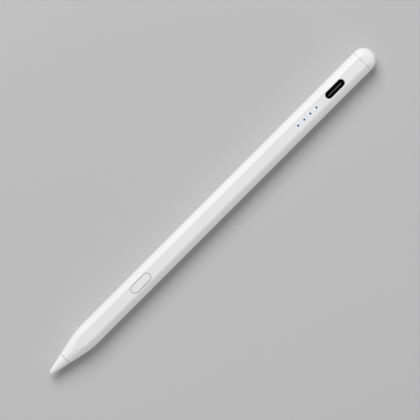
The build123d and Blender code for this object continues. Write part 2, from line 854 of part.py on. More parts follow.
# Ribbon between the boards, run in a groove under the battery
with BuildPart() as flex_link:
    with BuildSketch(along):
        with BuildLine():
            FilletPolyline(
                (front_board_back_x - ribbon_pad, ribbon_board_level),
                (ribbon_front_x, ribbon_board_level),
                (ribbon_front_x, ribbon_floor_level),
                (ribbon_back_x, ribbon_floor_level),
                (ribbon_back_x, ribbon_board_level),
                (rear_board_x + ribbon_pad, ribbon_board_level),
                radius=ribbon_bend_radius,
            )
        trace(line_width=ribbon_thickness)
    extrude(amount=ribbon_width / 2, both=True)

# Labels and files, one for each piece
barrel.part.label = "barrel"
export_step(barrel.part, "parts/barrel.step")
end_cap.part.label = "end_cap"
export_step(end_cap.part, "parts/end_cap.step")
nib.part.label = "nib"
export_step(nib.part, "parts/nib.step")
nib_insert.part.label = "nib_insert"
export_step(nib_insert.part, "parts/nib_insert.step")
tip_rod.part.label = "tip_rod"
export_step(tip_rod.part, "parts/tip_rod.step")
nose_bush.part.label = "nose_bush"
export_step(nose_bush.part, "parts/nose_bush.step")
ring_electrode.part.label = "ring_electrode"
export_step(ring_electrode.part, "parts/ring_electrode.step")
return_spring.part.label = "return_spring"
export_step(return_spring.part, "parts/return_spring.step")
chassis.part.label = "chassis"
export_step(chassis.part, "parts/chassis.step")
sensor_board.part.label = "sensor_board"
export_step(sensor_board.part, "parts/sensor_board.step")
tip_sensor.part.label = "tip_sensor"
export_step(tip_sensor.part, "parts/tip_sensor.step")
front_board.part.label = "front_board"
export_step(front_board.part, "parts/front_board.step")
rear_board.part.label = "rear_board"
export_step(rear_board.part, "parts/rear_board.step")
controller_chip.part.label = "controller_chip"
export_step(controller_chip.part, "parts/controller_chip.step")
boost_coil.part.label = "boost_coil"
export_step(boost_coil.part, "parts/boost_coil.step")
charge_chip.part.label = "charge_chip"
export_step(charge_chip.part, "parts/charge_chip.step")
board_screws.part.label = "board_screws"
export_step(board_screws.part, "parts/board_screws.step")
switch_base.part.label = "switch_base"
export_step(switch_base.part, "parts/switch_base.step")
switch_dome.part.label = "switch_dome"
export_step(switch_dome.part, "parts/switch_dome.step")
switch_plunger.part.label = "switch_plunger"
export_step(switch_plunger.part, "parts/switch_plunger.step")
switch_cover.part.label = "switch_cover"
export_step(switch_cover.part, "parts/switch_cover.step")
function_button.part.label = "function_button"
export_step(function_button.part, "parts/function_button.step")
leds.part.label = "leds"
export_step(leds.part, "parts/leds.step")
light_guide.part.label = "light_guide"
export_step(light_guide.part, "parts/light_guide.step")
usb_shell.part.label = "usb_shell"
export_step(usb_shell.part, "parts/usb_shell.step")
usb_insert.part.label = "usb_insert"
export_step(usb_insert.part, "parts/usb_insert.step")
usb_contacts.part.label = "usb_contacts"
export_step(usb_contacts.part, "parts/usb_contacts.step")
magnets.part.label = "magnets"
export_step(magnets.part, "parts/magnets.step")
battery_cell.part.label = "battery_cell"
export_step(battery_cell.part, "parts/battery_cell.step")
battery_lead_red.part.label = "battery_lead_red"
export_step(battery_lead_red.part, "parts/battery_lead_red.step")
battery_lead_black.part.label = "battery_lead_black"
export_step(battery_lead_black.part, "parts/battery_lead_black.step")
flex_link.part.label = "flex_link"
export_step(flex_link.part, "parts/flex_link.step")
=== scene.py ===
import math

import bmesh
import bpy
from mathutils import Matrix, Vector


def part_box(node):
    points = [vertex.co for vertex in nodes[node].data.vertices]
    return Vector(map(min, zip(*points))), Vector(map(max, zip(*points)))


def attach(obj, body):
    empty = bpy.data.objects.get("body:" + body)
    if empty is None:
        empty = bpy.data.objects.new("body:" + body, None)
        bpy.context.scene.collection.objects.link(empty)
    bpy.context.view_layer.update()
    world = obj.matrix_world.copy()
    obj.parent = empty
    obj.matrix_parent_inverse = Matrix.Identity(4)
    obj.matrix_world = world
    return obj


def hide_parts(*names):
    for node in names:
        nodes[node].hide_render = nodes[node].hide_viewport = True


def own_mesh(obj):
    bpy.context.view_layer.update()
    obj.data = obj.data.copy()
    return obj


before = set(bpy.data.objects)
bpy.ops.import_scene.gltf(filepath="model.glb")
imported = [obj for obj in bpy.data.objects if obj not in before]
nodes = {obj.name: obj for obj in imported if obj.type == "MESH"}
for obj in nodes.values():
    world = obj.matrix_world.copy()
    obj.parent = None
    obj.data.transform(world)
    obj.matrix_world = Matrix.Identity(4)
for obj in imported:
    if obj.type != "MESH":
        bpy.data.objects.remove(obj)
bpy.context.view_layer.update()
axisZ = sum(corner.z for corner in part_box("end_cap")) / 2  # height of the pen's axis
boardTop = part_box("front_board")[1].z
print("frame loaded:", len(nodes), "nodes")

# Shader node helpers
black = (0.0, 0.0, 0.0)
noiseLook = {"rough": 0.55, "spread": (0.3, 0.7), "patchDetail": 4.0, "grainDetail": 2.0}
plainLook = {"stretch": (1.0, 1.0, 1.0), "metal": 0.0, "ior": 1.5}  # what a piece's own look leaves out


def startMaterial(name):
    material = bpy.data.materials.new(name)
    material.use_nodes = True
    return material, material.node_tree.nodes["Principled BSDF"]


def join(tree, socket, value):
    if isinstance(value, bpy.types.NodeSocket):
        tree.links.new(value, socket)
    else:
        socket.default_value = value


def addNode(tree, kind, inputs=(), **settings):
    node = tree.nodes.new(kind)
    for key, value in settings.items():
        setattr(node, key, value)
    for key, value in dict(inputs).items():
        join(tree, node.inputs[key], value)
    return node


def calc(tree, operation, first, second=0.0):
    return addNode(tree, "ShaderNodeMath", {0: first, 1: second}, operation=operation).outputs[0]


def stretched(tree, point, scale):
    return addNode(tree, "ShaderNodeMapping", {"Vector": point, "Scale": scale}).outputs[0]


def split(tree, point):
    return addNode(tree, "ShaderNodeSeparateXYZ", {0: point}).outputs


def noise(tree, point, scale, detail):
    inputs = {"Vector": point, "Scale": scale, "Detail": detail, "Roughness": noiseLook["rough"]}
    return addNode(tree, "ShaderNodeTexNoise", inputs).outputs["Fac"]


def ranged(tree, value, low, high, fromLow=noiseLook["spread"][0], fromHigh=noiseLook["spread"][1]):
    inputs = {"Value": value, "From Min": fromLow, "From Max": fromHigh, "To Min": low, "To Max": high}
    return addNode(tree, "ShaderNodeMapRange", inputs).outputs[0]


def blended(tree, factor, first, second):
    inputs = {0: factor}
    for place, colour in ((6, first), (7, second)):  # the two colour sockets of a mix
        inputs[place] = colour if isinstance(colour, bpy.types.NodeSocket) else (*colour, 1.0)
    return addNode(tree, "ShaderNodeMix", inputs, data_type="RGBA").outputs[2]


def bumped(tree, height, depth, below=None):
    inputs = {"Height": height, "Distance": depth}
    if below:
        inputs["Normal"] = below
    return addNode(tree, "ShaderNodeBump", inputs).outputs[0]


def near(tree, point, centre, inner, outer):  # 1 inside inner, fading to 0 at outer
    ends = {0: point, 1: centre}
    distance = addNode(tree, "ShaderNodeVectorMath", ends, operation="DISTANCE").outputs["Value"]
    return ranged(tree, distance, 1.0, 0.0, inner, outer)


def nearAny(tree, point, centres, inner, outer):
    strongest = 0.0
    for centre in centres:
        strongest = calc(tree, "MAXIMUM", near(tree, point, centre, inner, outer), strongest)
    return strongest


def drawnMarks(look):  # a relief of fine lines, pulled out along the pen
    def relief(tree, point):
        return noise(tree, stretched(tree, point, look["drawStretch"]), look["draw"], look["drawDetail"])

    return relief


def surface(name, look, colour=None, relief=None, shine=None):
    look = {**plainLook, **look}
    material, shader = startMaterial(name)
    tree = material.node_tree
    point = addNode(tree, "ShaderNodeTexCoord").outputs["Object"]
    patch = noise(tree, point, look["patch"], noiseLook["patchDetail"])
    grain = noise(tree, stretched(tree, point, look["stretch"]), look["grain"], noiseLook["grainDetail"])
    base = blended(tree, ranged(tree, patch, 0.0, 1.0), look["light"], look["dark"])
    if colour:
        base = colour(tree, point, base)
    join(tree, shader.inputs["Base Color"], base)
    join(tree, shader.inputs["Roughness"], ranged(tree, grain, *look["rough"]))
    normal = bumped(tree, grain, look["depth"])
    if relief:
        normal = bumped(tree, relief(tree, point), look["reliefDepth"], normal)
    join(tree, shader.inputs["Normal"], normal)
    if shine:
        join(tree, shader.inputs["Emission Color"], shine(tree, point))
        shader.inputs["Emission Strength"].default_value = 1.0
    shader.inputs["Metallic"].default_value = look["metal"]
    shader.inputs["IOR"].default_value = look["ior"]
    return material


def dress(material, *names):
    for name in names:
        slots = nodes[name].data.materials
        slots.clear()
        slots.append(material)


# Satin white shell: faint mould mottle, fine spark grain, long draw marks, and a painted blue glow round the
# lamps
shellLook = {
    "light": (0.865, 0.865, 0.862), "dark": (0.838, 0.838, 0.837), "rough": (0.36, 0.46), "ior": 1.49,
    "patch": 55.0, "grain": 5200.0, "depth": 2.5e-6,
    "draw": 1600.0, "drawStretch": (0.06, 1.0, 1.0), "drawDetail": 2.0, "reliefDepth": 1.5e-6,
}
lampRow = {"count": 4, "chip": 0.001, "bleed": (0.00045, 0.0017), "fall": 2.0, "tint": (0.004, 0.08, 0.21)}
ledLow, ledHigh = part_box("leds")
rowStart, rowEnd = ledLow.x + lampRow["chip"] / 2, ledHigh.x - lampRow["chip"] / 2
rowStep = (rowEnd - rowStart) / (lampRow["count"] - 1)
lampPlaces = [  # on the top flat, over each lamp
    Vector((rowStart + step * rowStep, 0.0, 2 * axisZ)) for step in range(lampRow["count"])
]


# painted glow: the shell itself emits a blue halo round each lamp place, fading outwards
def paintedLampGlow(tree, point):
    bleed = nearAny(tree, point, lampPlaces, *lampRow["bleed"])
    return blended(tree, calc(tree, "POWER", bleed, lampRow["fall"]), black, lampRow["tint"])


dress(surface("white_shell", shellLook, relief=drawnMarks(shellLook), shine=paintedLampGlow), "barrel")

keyLook = {**shellLook, "light": (0.872, 0.872, 0.87), "dark": (0.848, 0.848, 0.846), "rough": (0.34, 0.42)}
dress(surface("white_key", keyLook, relief=drawnMarks(keyLook)), "function_button")

# Nib: a harder, matter plastic with fine turned rings and a tip that writing has polished
nibLook = {
    "light": (0.858, 0.858, 0.853), "dark": (0.832, 0.832, 0.828), "rough": (0.42, 0.54), "ior": 1.49,
    "patch": 160.0, "grain": 7000.0, "stretch": (1.0, 0.08, 0.08), "depth": 2e-6,
    "worn": (0.0004, 0.0014), "wear": (0.80, 0.80, 0.79),
    "scuff": 2600.0, "scuffDetail": 4.0, "scuffSpread": (0.45, 0.65),
}
nibTip = Vector((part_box("nib")[0].x, 0.0, axisZ))


def tipWear(tree, point, base):
    worn = near(tree, point, nibTip, *nibLook["worn"])
    scuff = noise(tree, point, nibLook["scuff"], nibLook["scuffDetail"])
    scuff = ranged(tree, scuff, 0.0, 1.0, *nibLook["scuffSpread"])
    return blended(tree, calc(tree, "MULTIPLY", worn, scuff), base, nibLook["wear"])


dress(surface("nib_plastic", nibLook, colour=tipWear), "nib")
print("shell, key and nib dressed")

# Turned and drawn metals of the tip mechanism
brassLook = {
    "light": (0.80, 0.62, 0.30), "dark": (0.70, 0.52, 0.24), "rough": (0.22, 0.38), "metal": 1.0,
    "patch": 900.0, "grain": 16000.0, "stretch": (1.0, 0.1, 0.1), "depth": 2e-6,
}
dress(surface("insert_brass", brassLook), "nib_insert")

stripLook = {
    "light": (0.74, 0.47, 0.27), "dark": (0.60, 0.34, 0.18), "rough": (0.25, 0.42), "metal": 1.0,
    "patch": 500.0, "grain": 9000.0, "stretch": (0.08, 1.0, 1.0), "depth": 1.5e-6,
}
dress(surface("electrode", stripLook), "ring_electrode")

sensorLook = {
    "light": (0.72, 0.69, 0.60), "dark": (0.60, 0.57, 0.49), "rough": (0.24, 0.4), "metal": 1.0,
    "patch": 700.0, "grain": 12000.0, "stretch": (0.2, 1.0, 0.1), "depth": 1.5e-6,
}
dress(surface("sensor_metal", sensorLook), "tip_sensor")

stampedLook = {
    "light": (0.76, 0.76, 0.77), "dark": (0.66, 0.66, 0.68), "rough": (0.2, 0.36), "metal": 1.0,
    "patch": 700.0, "grain": 12000.0, "stretch": (0.1, 1.0, 1.0), "depth": 1.5e-6,
}
stampedMetal = surface("switch_metal", stampedLook)
dress(stampedMetal, "switch_cover")

screwLook = {
    "light": (0.50, 0.50, 0.52), "dark": (0.36, 0.36, 0.38), "rough": (0.25, 0.45), "metal": 1.0,
    "patch": 1200.0, "grain": 14000.0, "depth": 2e-6,
}
dress(surface("screw_steel", screwLook), "board_screws")

magnetLook = {
    "light": (0.78, 0.77, 0.74), "dark": (0.70, 0.69, 0.66), "rough": (0.1, 0.24), "metal": 1.0,
    "patch": 300.0, "grain": 6000.0, "depth": 2e-6,
}
dress(surface("magnet_nickel", magnetLook), "magnets")

# Moulded plastics inside
chassisLook = {
    "light": (0.032, 0.034, 0.037), "dark": (0.022, 0.023, 0.026), "rough": (0.5, 0.68),
    "patch": 80.0, "grain": 6000.0, "depth": 6e-6,
    "draw": 900.0, "drawStretch": (0.04, 1.0, 1.0), "drawDetail": 3.0, "reliefDepth": 4e-6,
}
dress(surface("chassis_plastic", chassisLook, relief=drawnMarks(chassisLook)), "chassis")

bushLook = {
    "light": (0.74, 0.73, 0.68), "dark": (0.66, 0.65, 0.60), "rough": (0.3, 0.44),
    "patch": 250.0, "grain": 6000.0, "stretch": (1.0, 0.15, 0.15), "depth": 3e-6,
}
dress(surface("bush_plastic", bushLook), "nose_bush", "switch_plunger")

epoxyLook = {
    "light": (0.022, 0.022, 0.024), "dark": (0.013, 0.013, 0.015), "rough": (0.5, 0.7),
    "patch": 700.0, "grain": 14000.0, "depth": 5e-6,
    "mark": (0.10, 0.10, 0.105), "dot": (0.00024, 0.00028), "inset": 0.22,
}


def cornerDot(node):
    low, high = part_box(node)
    inset = epoxyLook["inset"] * min(high.x - low.x, high.y - low.y)
    place = Vector((low.x + inset, high.y - inset, high.z))

    def paint(tree, point, base):
        return blended(tree, near(tree, point, place, *epoxyLook["dot"]), base, epoxyLook["mark"])

    return paint


for name in ("controller_chip", "charge_chip"):
    dress(surface(name + "_epoxy", epoxyLook, colour=cornerDot(name)), name)
dress(surface("switch_epoxy", epoxyLook), "switch_base")

# Coil: dark ferrite, with copper turns showing in the well on its top and painted shade in the grooves between
# turns
ferriteLook = {
    "light": (0.075, 0.075, 0.08), "dark": (0.045, 0.045, 0.05), "rough": (0.42, 0.62),
    "patch": 900.0, "grain": 9000.0, "depth": 8e-6,
    "wire": (0.62, 0.30, 0.12), "turn": 0.00016, "between": 0.35, "well": 0.0009, "rim": 2e-5,
}
coilLow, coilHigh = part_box("boost_coil")
coilMiddle = (coilLow + coilHigh) / 2


def windings(tree, point, base):
    x, y, z = split(tree, point)
    squares = []
    for value, middle in ((x, coilMiddle.x), (y, coilMiddle.y)):
        across = calc(tree, "SUBTRACT", value, middle)
        squares.append(calc(tree, "MULTIPLY", across, across))
    radius = calc(tree, "SQRT", calc(tree, "ADD", *squares))
    wave = calc(tree, "SINE", calc(tree, "MULTIPLY", radius, math.tau / ferriteLook["turn"]))
    # painted shade: the wire colour thins out in the grooves between turns, letting the dark ferrite show as
    # shade
    rings = ranged(tree, wave, ferriteLook["between"], 1.0, -1.0, 1.0)
    within = calc(tree, "LESS_THAN", radius, ferriteLook["well"])
    below = calc(tree, "LESS_THAN", z, coilHigh.z - ferriteLook["rim"])
    inside = calc(tree, "MULTIPLY", within, below)
    return blended(tree, calc(tree, "MULTIPLY", inside, rings), base, ferriteLook["wire"])


dress(surface("coil_ferrite", ferriteLook, colour=windings), "boost_coil")
print("mechanism and chips dressed")

# Circuit boards: green mask over copper tracks, tinned vias and a bare glass-fibre edge
maskLook = {
    "light": (0.012, 0.105, 0.055), "dark": (0.008, 0.08, 0.042), "rough": (0.24, 0.36),
    "patch": 300.0, "grain": 9000.0, "depth": 2e-6, "reliefDepth": 1.5e-5,
    "track": (0.03, 0.19, 0.09), "via": (0.72, 0.68, 0.55), "edge": (0.36, 0.33, 0.18), "skin": 1.5e-5,
    "length": 0.0042, "spacing": 0.0007, "line": 0.00011, "shift": 0.37, "short": 0.6, "shortEvery": 3,
    "vias": 520.0, "scatter": 0.9, "viaRim": (0.10, 0.13),
}


def boardMaterial(name, node, upright=False):
    rise = 0 if upright else 2  # the axis that the board's thickness runs along
    low, high = (corner[rise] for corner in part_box(node))

    def laidOut(tree, point):  # the board's own plane as X and Y
        axes = split(tree, point)
        return addNode(tree, "ShaderNodeCombineXYZ", {0: axes[2 - rise], 1: axes[1]}).outputs[0]

    def tracks(tree, point):
        inputs = {
            "Vector": laidOut(tree, point), "Scale": 1.0, "Mortar Size": maskLook["line"],
            "Brick Width": maskLook["length"], "Row Height": maskLook["spacing"],
        }
        settings = {
            "offset": maskLook["shift"], "squash": maskLook["short"],
            "squash_frequency": maskLook["shortEvery"],
        }
        return addNode(tree, "ShaderNodeTexBrick", inputs, **settings).outputs["Fac"]

    def paint(tree, point, base):
        base = blended(tree, tracks(tree, point), base, maskLook["track"])
        inputs = {
            "Vector": laidOut(tree, point), "Scale": maskLook["vias"], "Randomness": maskLook["scatter"],
        }
        spot = addNode(tree, "ShaderNodeTexVoronoi", inputs, voronoi_dimensions="2D").outputs["Distance"]
        base = blended(tree, ranged(tree, spot, 1.0, 0.0, *maskLook["viaRim"]), base, maskLook["via"])
        level = split(tree, point)[rise]
        under = calc(tree, "GREATER_THAN", level, low + maskLook["skin"])
        over = calc(tree, "LESS_THAN", level, high - maskLook["skin"])
        return blended(tree, calc(tree, "MULTIPLY", under, over), base, maskLook["edge"])

    return surface(name, maskLook, colour=paint, relief=tracks)


dress(boardMaterial("front_mask", "front_board"), "front_board")
dress(boardMaterial("rear_mask", "rear_board"), "rear_board")
dress(boardMaterial("sensor_mask", "sensor_board", upright=True), "sensor_board")

# Lamps: pale chips with a blue die, and the dark clear guide that shows as four dots on the flat, each dot
# given a painted glow
ledLook = {
    "light": (0.80, 0.76, 0.56), "dark": (0.72, 0.66, 0.46), "rough": (0.22, 0.36),
    "patch": 900.0, "grain": 9000.0, "depth": 3e-6, "die": (0.00012, 0.0003), "glow": (0.12, 0.35, 1.0),
}
diePlaces = [Vector((place.x, 0.0, ledHigh.z)) for place in lampPlaces]


def ledDie(tree, point):
    return blended(tree, nearAny(tree, point, diePlaces, *ledLook["die"]), black, ledLook["glow"])


dress(surface("led_body", ledLook, shine=ledDie), "leds")

guideLook = {
    "light": (0.105, 0.125, 0.185), "dark": (0.085, 0.105, 0.165), "rough": (0.16, 0.3),
    "patch": 1500.0, "grain": 8000.0, "depth": 2e-6, "lit": (0.0, 0.00036), "glow": (0.004, 0.012, 0.035),
}


# painted glow: the guide emits a faint blue light over each lamp
def guideEnds(tree, point):
    return blended(tree, nearAny(tree, point, lampPlaces, *guideLook["lit"]), black, guideLook["glow"])


dress(surface("clear_guide", guideLook, shine=guideEnds), "light_guide")

# Charging socket: a near-black shell, black moulding, a painted highlight along its tongue, and gold contacts
# darkened as painted shade
socketLook = {
    "light": (0.009, 0.009, 0.010), "dark": (0.006, 0.006, 0.007), "rough": (0.42, 0.58), "ior": 1.3,
    "patch": 500.0, "grain": 9000.0, "stretch": (1.0, 1.0, 0.08), "depth": 2e-6,
}
dress(surface("socket_steel", socketLook), "usb_shell")

insertLook = {
    "light": (0.004, 0.004, 0.005), "dark": (0.0025, 0.0025, 0.0035), "rough": (0.5, 0.66), "ior": 1.15,
    "patch": 600.0, "grain": 9000.0, "depth": 3e-6,
    "plate": (0.165, 0.165, 0.168), "lip": 0.0006, "edge": (0.00003, 0.0002), "middle": -0.00014,
}
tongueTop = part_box("usb_insert")[1].z


# painted highlight: a grey stripe along the tongue's top, set off centre towards -Y so the +Y side under the
# socket wall stays in painted shade
def tongueHighlight(tree, point, base):
    y, z = split(tree, point)[1:]
    rise = ranged(tree, z, 0.0, 1.0, tongueTop - insertLook["lip"], tongueTop)
    aside = calc(tree, "ABSOLUTE", calc(tree, "SUBTRACT", y, insertLook["middle"]))
    edge = ranged(tree, aside, 1.0, 0.0, *insertLook["edge"])
    return blended(tree, calc(tree, "MULTIPLY", rise, edge), base, insertLook["plate"])


dress(surface("socket_black", insertLook, colour=tongueHighlight), "usb_insert")

# gold colour darkened well below real gold, as painted shade deep in the socket
shadedGoldLook = {
    "light": (0.18, 0.135, 0.064), "dark": (0.14, 0.105, 0.049), "rough": (0.28, 0.42), "metal": 1.0,
    "patch": 1500.0, "grain": 14000.0, "stretch": (1.0, 1.0, 0.1), "depth": 1e-6,
}
dress(surface("contact_gold", shadedGoldLook), "usb_contacts")

# Battery: a plain drawn can, its two leads and the amber ribbon that runs below it
canLook = {
    "light": (0.73, 0.74, 0.76), "dark": (0.62, 0.63, 0.66), "rough": (0.2, 0.36), "metal": 1.0,
    "patch": 120.0, "grain": 8000.0, "stretch": (0.05, 1.0, 1.0), "depth": 2e-6,
}
dress(surface("battery_can", canLook), "battery_cell")

redLook = {
    "light": (0.46, 0.016, 0.012), "dark": (0.38, 0.010, 0.008), "rough": (0.36, 0.5),
    "patch": 1500.0, "grain": 9000.0, "depth": 3e-6,
}
blackLook = {**redLook, "light": (0.014, 0.014, 0.015), "dark": (0.008, 0.008, 0.009)}
dress(surface("lead_red", redLook), "battery_lead_red")
dress(surface("lead_black", blackLook), "battery_lead_black")

ribbonLook = {
    "light": (0.46, 0.17, 0.016), "dark": (0.38, 0.13, 0.012), "rough": (0.2, 0.34),
    "patch": 200.0, "grain": 5000.0, "depth": 2e-6, "reliefDepth": 2e-5,
    "tracks": 5, "width": 0.0022, "flank": 0.4, "copper": (0.55, 0.24, 0.05),
}


def ribbonTracks(tree, point):
    y = split(tree, point)[1]
    perMetre = math.tau * ribbonLook["tracks"] / ribbonLook["width"]
    wave = calc(tree, "COSINE", calc(tree, "MULTIPLY", y, perMetre))
    return ranged(tree, wave, 0.0, 1.0, 0.0, ribbonLook["flank"])


def ribbonPaint(tree, point, base):
    return blended(tree, ribbonTracks(tree, point), base, ribbonLook["copper"])


dress(surface("flex_film", ribbonLook, colour=ribbonPaint, relief=ribbonTracks), "flex_link")
print("boards, lamps, socket and battery dressed")

# Mesh helpers for the new pieces
mergeGap = 1e-7
penAxis = {"cent": (0.0, 0.0, axisZ), "axis": (1.0, 0.0, 0.0)}


def everything(shape):
    return shape.verts[:] + shape.edges[:] + shape.faces[:]


def picked(geom, kind):
    return [item for item in geom if isinstance(item, kind)]


def addOutline(shape, outline, first=None):  # edges through points given as a length and a radius
    verts = [first] if first else []
    verts += [shape.verts.new((x, 0.0, axisZ + radius)) for x, radius in outline]
    return verts + [shape.edges.new(pair) for pair in zip(verts, verts[1:])]


def fullTurn(shape, geom, steps, line):
    bmesh.ops.spin(shape, geom=geom, **line, angle=math.tau, steps=steps, use_merge=True)
    bmesh.ops.remove_doubles(shape, verts=shape.verts, dist=mergeGap)


def wind(shape, turns, steps, pitch):  # sweeps a face along a helix round the pen's axis
    bmesh.ops.spin(
        shape, geom=everything(shape), **penAxis, dvec=(pitch / steps, 0.0, 0.0),
        angle=math.tau * turns, steps=turns * steps,
    )


def shadeSmooth(shape, crease):  # edges past the crease angle stay sharp
    for face in shape.faces:
        face.smooth = True
    for edge in shape.edges:
        edge.smooth = edge.calc_face_angle(0.0) < crease


def addObject(name, data):
    thing = bpy.data.objects.new(name, data)
    bpy.context.scene.collection.objects.link(thing)
    return thing


def finishPiece(name, shape, materials, body="pen_body", node=None):
    bmesh.ops.remove_doubles(shape, verts=shape.verts, dist=mergeGap)
    bmesh.ops.recalc_face_normals(shape, faces=shape.faces)
    mesh = bpy.data.meshes.new(name)
    shape.to_mesh(mesh)
    shape.free()
    for material in materials:
        mesh.materials.append(material)
    piece = addObject(name, mesh)
    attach(piece, body)
    if node:
        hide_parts(node)
    return piece


# End cap: a turned dome with a groove at its seam; its flats roll away into the dome with no edge
capLook = {
    "groove": (0.0001, 0.0004), "spigot": 0.0036, "wall": 0.0008, "hollow": 0.0015, "inside": 1e-6,
    "roll": math.radians(40), "fade": 0.0012, "arcs": 20, "around": 96, "crease": math.radians(30),
}
capLow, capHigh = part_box("end_cap")
capSeam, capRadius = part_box("barrel")[1].x, capHigh.y - capLook["inside"]
capMiddle, capLevel = capHigh.x - capRadius, capHigh.z - capLook["inside"] - axisZ
grooveWidth, grooveDepth = capLook["groove"]
capRim, grooveRadius = capSeam + grooveWidth, capRadius - grooveDepth
hollowEnd, hollowRadius = capSeam + capLook["hollow"], capLook["spigot"] - capLook["wall"]
capShape = bmesh.new()
pole = capShape.verts.new((capHigh.x, 0.0, axisZ))
arc = bmesh.ops.spin(
    capShape, geom=[pole], cent=(capMiddle, 0.0, axisZ), axis=(0.0, 1.0, 0.0),
    angle=-math.pi / 2, steps=capLook["arcs"],
)
addOutline(capShape, [
    ((capMiddle + capRim) / 2, capRadius), (capRim, capRadius), (capRim, grooveRadius),
    (capSeam, grooveRadius), (capSeam, capLook["spigot"]), (capLow.x, capLook["spigot"]),
    (capLow.x, hollowRadius), (hollowEnd, hollowRadius), (hollowEnd, 0.0),
], picked(arc["geom_last"], bmesh.types.BMVert)[0])
fullTurn(capShape, everything(capShape), capLook["around"], penAxis)
for vert in capShape.verts:  # press the two flats in: straight on every wall, rolled away on the dome
    rise = vert.co.z - axisZ
    radius = math.hypot(vert.co.y, rise)
    level = max(capLevel - capRadius + radius, 0.0)
    pressed = 1.0 - level / max(abs(rise), level, mergeGap)
    if math.hypot(max(vert.co.x - capMiddle, 0.0), radius) > capRadius - mergeGap:
        share = min(max((vert.co.x - capRim) / capLook["fade"], 0.0), 1.0)
        aside = math.atan2(abs(vert.co.y), abs(rise)) / capLook["roll"]
        rolled = (1.0 - capLevel / capRadius) * max(0.0, 1.0 - aside**2) ** 2 * (radius / capRadius) ** 2
        pressed += (rolled - pressed) * share * share * (3.0 - 2.0 * share)  # eased from one to the other
    vert.co.y *= 1.0 - pressed
    vert.co.z = axisZ + rise * (1.0 - pressed)
shadeSmooth(capShape, capLook["crease"])
whiteCap = surface("white_cap", shellLook, relief=drawnMarks(shellLook))
finishPiece("domed_cap", capShape, [whiteCap], node="end_cap")

# Tip rod: turned steel with a real thread on its post, inside the outline of the plain solid
rodLook = {
    "light": (0.64, 0.65, 0.67), "dark": (0.52, 0.53, 0.55), "rough": (0.18, 0.34), "metal": 1.0,
    "patch": 600.0, "grain": 15000.0, "stretch": (1.0, 0.08, 0.08), "depth": 1.5e-6,
    "post": 0.0008, "shank": 0.00125, "tail": 0.0006, "chamfer": 0.00008, "around": 48,
    "pitch": 0.00035, "thread": 0.00017, "crest": 0.00005, "root": 0.00027, "sunk": 0.00002,
    "lead": 0.0003, "turnSteps": 36, "crease": math.radians(25),
}
rodLow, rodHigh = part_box("tip_rod")
shoulderX, collarX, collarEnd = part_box("nib")[1].x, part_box("nose_bush")[1].x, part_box("return_spring")[0].x
post, shank, collar, tail = rodLook["post"], rodLook["shank"], rodHigh.y, rodLook["tail"]
core, chamfer = post - rodLook["thread"], rodLook["chamfer"]
threadStart = rodLow.x + rodLook["lead"]
threadTurns = math.floor((shoulderX - rodLook["lead"] - threadStart) / rodLook["pitch"])
halfRoot, halfCrest, footRadius = rodLook["root"] / 2, rodLook["crest"] / 2, core - rodLook["sunk"]
ridge = [(-halfRoot, footRadius), (-halfCrest, post), (halfCrest, post), (halfRoot, footRadius)]
rodShape = bmesh.new()
rodShape.faces.new([  # a flat-topped ridge, its foot sunk in the post
    rodShape.verts.new((threadStart + along, 0.0, axisZ + radius)) for along, radius in ridge
])
wind(rodShape, threadTurns, rodLook["turnSteps"], rodLook["pitch"])
rodOutline = addOutline(rodShape, [
    (rodLow.x, 0.0), (rodLow.x, core - chamfer), (rodLow.x + chamfer, core), (shoulderX, core),
    (shoulderX, shank - chamfer), (shoulderX + chamfer, shank), (collarX, shank),
    (collarX, collar - chamfer), (collarX + chamfer, collar), (collarEnd - chamfer, collar),
    (collarEnd, collar - chamfer), (collarEnd, tail), (rodHigh.x - chamfer, tail),
    (rodHigh.x, tail - chamfer), (rodHigh.x, 0.0),
])
fullTurn(rodShape, rodOutline, rodLook["around"], penAxis)
shadeSmooth(rodShape, rodLook["crease"])
finishPiece("threaded_rod", rodShape, [surface("rod_steel", rodLook)], "tip_rod", "tip_rod")

# Return spring: round wire wound on a helix
springLook = {
    "wire": 0.00015, "turns": 3, "turnSteps": 26, "sides": 12,
    "light": (0.56, 0.57, 0.60), "dark": (0.46, 0.47, 0.50), "rough": (0.2, 0.34), "metal": 1.0,
    "patch": 1500.0, "grain": 16000.0, "depth": 1e-6,
}
springLow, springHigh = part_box("return_spring")
springRadius = (springHigh.y - springLow.y) / 2 - springLook["wire"]
springPitch = (springHigh.x - springLow.x - 2 * springLook["wire"]) / springLook["turns"]
springShape = bmesh.new()
wirePlace = Matrix.Translation((springLow.x + springLook["wire"], 0.0, axisZ + springRadius))
bmesh.ops.create_circle(
    springShape, cap_ends=True, segments=springLook["sides"], radius=springLook["wire"],
    matrix=wirePlace @ Matrix.Rotation(math.pi / 2, 4, "X"),
)
wind(springShape, springLook["turns"], springLook["turnSteps"], springPitch)
for face in springShape.faces:
    face.smooth = len(face.verts) == 4  # all but the two cut ends
springSteel = surface("spring_steel", springLook)
spring = finishPiece("tip_spring", springShape, [springSteel], node="return_spring")
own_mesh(spring)

